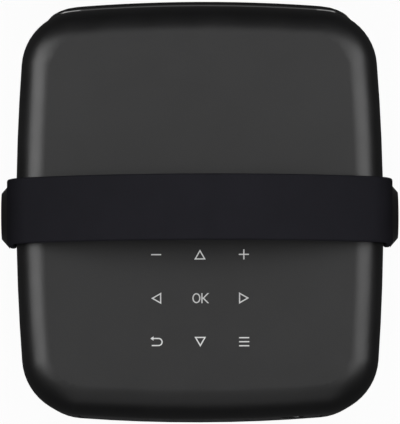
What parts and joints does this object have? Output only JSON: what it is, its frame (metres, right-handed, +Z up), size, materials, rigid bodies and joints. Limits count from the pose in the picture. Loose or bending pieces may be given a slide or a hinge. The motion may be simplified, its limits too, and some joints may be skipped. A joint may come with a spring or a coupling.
{
  "type": "video projector",
  "caption": "Portable video projector: a rounded box with a lens window in a front bezel, touch keys and a carrying strap on top, and sockets and vents at the rear.",
  "frame": {"origin": "on the table under the middle of the body", "axes": "+Z up, the lens looks towards -Y and the sockets face +Y, +X to the right when facing the lens"},
  "size_m": [0.2004, 0.21, 0.1675],
  "materials": {
    "cover_plastic": "fine matte texture",
    "gloss_black": "polished",
    "dark_plastic": "matte",
    "strap_rubber": "matte",
    "foot_rubber": "matte",
    "legend_ink": "printed",
    "clear_glass": "polished",
    "sensor_glass": "polished",
    "steel": "plated",
    "alloy": "bare",
    "brass": "bare",
    "magnet_iron": "coated",
    "board": "lacquered",
    "lamp_phosphor": "matte",
    "filter_foam": "open foam",
    "light_guide": "clear"
  },
  "bodies": {
    "projector_body": {"top_cover": "cover_plastic", "bottom_cover": "cover_plastic", "case_screws": "steel", "rubber_feet": "foot_rubber", "tripod_insert": "brass", "intake_grille": "cover_plastic", "dust_filter": "filter_foam", "key_legends": "legend_ink", "touch_board": "board", "front_bezel": "gloss_black", "lens_window": "clear_glass", "lens_trim": "gloss_black", "sensor_windows": "sensor_glass", "sensor_modules": "board", "rear_panel": "dark_plastic", "hdmi_sockets": "steel", "usb_sockets": "steel", "audio_socket": "dark_plastic", "mains_inlet": "gloss_black", "socket_board": "board", "button_switch": "board", "status_light": "light_guide", "speaker_grilles": "dark_plastic", "speaker_frames": "steel", "speaker_cones": "dark_plastic", "speaker_magnets": "magnet_iron", "pivot_screws": "steel", "pivot_washers": "dark_plastic", "handle_brackets": "steel", "engine_base": "dark_plastic", "engine_cover": "dark_plastic", "engine_screws": "steel", "front_field_lens": "clear_glass", "lcd_panel": "gloss_black", "rear_field_lens": "clear_glass", "condenser_lens": "clear_glass", "lamp_emitter": "lamp_phosphor", "lamp_board": "alloy", "heat_sink": "alloy", "lens_mount": "dark_plastic", "focus_clip": "steel", "focus_motor": "steel", "exhaust_frame": "dark_plastic", "intake_frame": "dark_plastic", "main_board": "board", "board_screws": "steel", "main_chips": "dark_plastic", "power_board": "board", "power_components": "dark_plastic"},
    "handle": {"handle_strap": "strap_rubber", "pivot_bushes": "steel", "pivot_caps": "gloss_black"},
    "focus_gear": {"focus_ring": "dark_plastic"},
    "projection_lens": {"lens_barrel": "dark_plastic", "front_element": "clear_glass", "rear_element": "clear_glass"},
    "motor_shaft": {"focus_pinion": "brass"},
    "exhaust_wheel": {"exhaust_rotor": "dark_plastic"},
    "intake_wheel": {"intake_rotor": "dark_plastic"},
    "button": {"power_button": "gloss_black"}
  },
  "joints": [
    {"name": "handle_swing", "type": "hinge", "parent": "projector_body", "child": "handle", "pos_m": [0, 0, 0.084], "axis": [1, 0, 0], "range_deg": [-16, 16]},
    {"name": "focus_turn", "type": "hinge", "parent": "projector_body", "child": "focus_gear", "pos_m": [0, -0.0581, 0.066], "axis": [0, -1, 0], "range_deg": [-60, 60]},
    {"name": "lens_slide", "type": "slide", "parent": "projector_body", "child": "projection_lens", "axis": [0, -1, 0], "range_m": [-0.003, 0.003]},
    {"name": "motor_turn", "type": "hinge", "parent": "projector_body", "child": "motor_shaft", "pos_m": [0.02758, -0.0577, 0.08914], "axis": [0, -1, 0], "range_deg": [-326, 326]},
    {"name": "exhaust_spin", "type": "hinge", "parent": "projector_body", "child": "exhaust_wheel", "pos_m": [0, 0.089, 0.07], "axis": [0, 1, 0], "continuous": true},
    {"name": "intake_spin", "type": "hinge", "parent": "projector_body", "child": "intake_wheel", "pos_m": [0, 0.038, 0.013], "axis": [0, 0, 1], "continuous": true},
    {"name": "power_press", "type": "slide", "parent": "projector_body", "child": "button", "axis": [0, -1, 0], "range_m": [0, 0.0008], "stiffness_N_per_m": 1500}
  ],
  "couplings": [
    {"joint": "focus_turn", "follows": "lens_slide", "rad_per_m": 349},
    {"joint": "motor_turn", "follows": "lens_slide", "rad_per_m": -1894.6}
  ]
}
